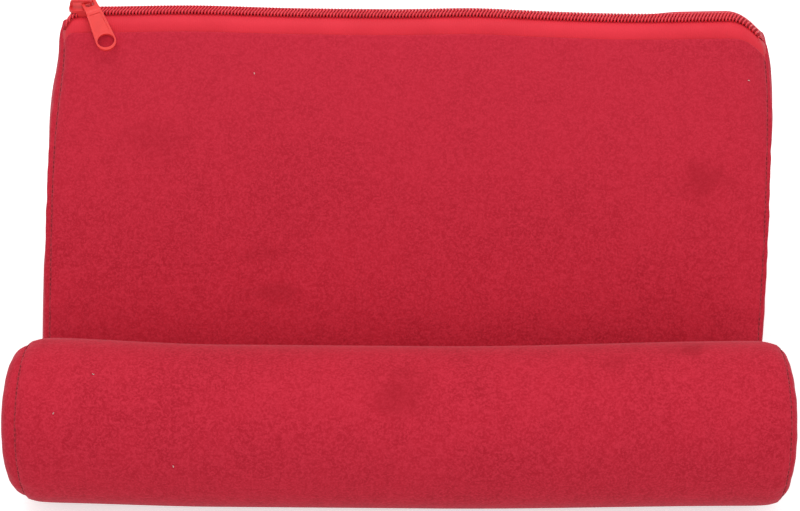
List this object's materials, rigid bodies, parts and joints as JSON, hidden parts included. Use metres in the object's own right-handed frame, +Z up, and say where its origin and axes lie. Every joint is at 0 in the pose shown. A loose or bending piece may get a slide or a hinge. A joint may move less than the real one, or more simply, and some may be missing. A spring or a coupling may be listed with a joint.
{
  "type": "tablet cushion stand",
  "caption": "Soft wedge cushion in red plush with a zip along its ridge and a bolster roll along its foot, which holds a tablet leaning on the sloping face.",
  "frame": {"origin": "on the floor, at the centre of the cushion's footprint", "axes": "+Z up; -Y towards the user, where the roll lies; +X towards the user's right, along the ridge"},
  "size_m": [0.2842, 0.2292, 0.1329],
  "materials": {
    "plush": "short crimson velvet pile",
    "zip_tape": "smooth woven tape",
    "zip_coil": "dyed nylon monofilament",
    "zip_paint": "gloss enamel on cast zinc",
    "foam": "open cell foam"
  },
  "bodies": {
    "cushion": {"wedge_foam": "foam", "roll_foam": "foam", "front_panel": "plush", "back_panel": "plush", "base_panel": "plush", "side_panel_left": "plush", "side_panel_right": "plush", "roll_cover": "plush", "roll_end_left": "plush", "roll_end_right": "plush", "zip_tape_front": "zip_tape", "zip_tape_back": "zip_tape", "zip_coil_front": "zip_coil", "zip_coil_back": "zip_coil"},
    "slider": {"zip_slider": "zip_paint"},
    "pull_tab": {"zip_pull_tab": "zip_paint"}
  },
  "joints": [
    {"name": "zip_slide", "type": "slide", "parent": "cushion", "child": "slider", "axis": [1, 0, 0], "range_m": [0, 0.245]},
    {"name": "tab_hinge", "type": "hinge", "parent": "slider", "child": "pull_tab", "pos_m": [-0.1285, 0.04486, 0.13105], "axis": [-0.9013, -0.4203, -0.1045], "range_deg": [0, 25]}
  ]
}
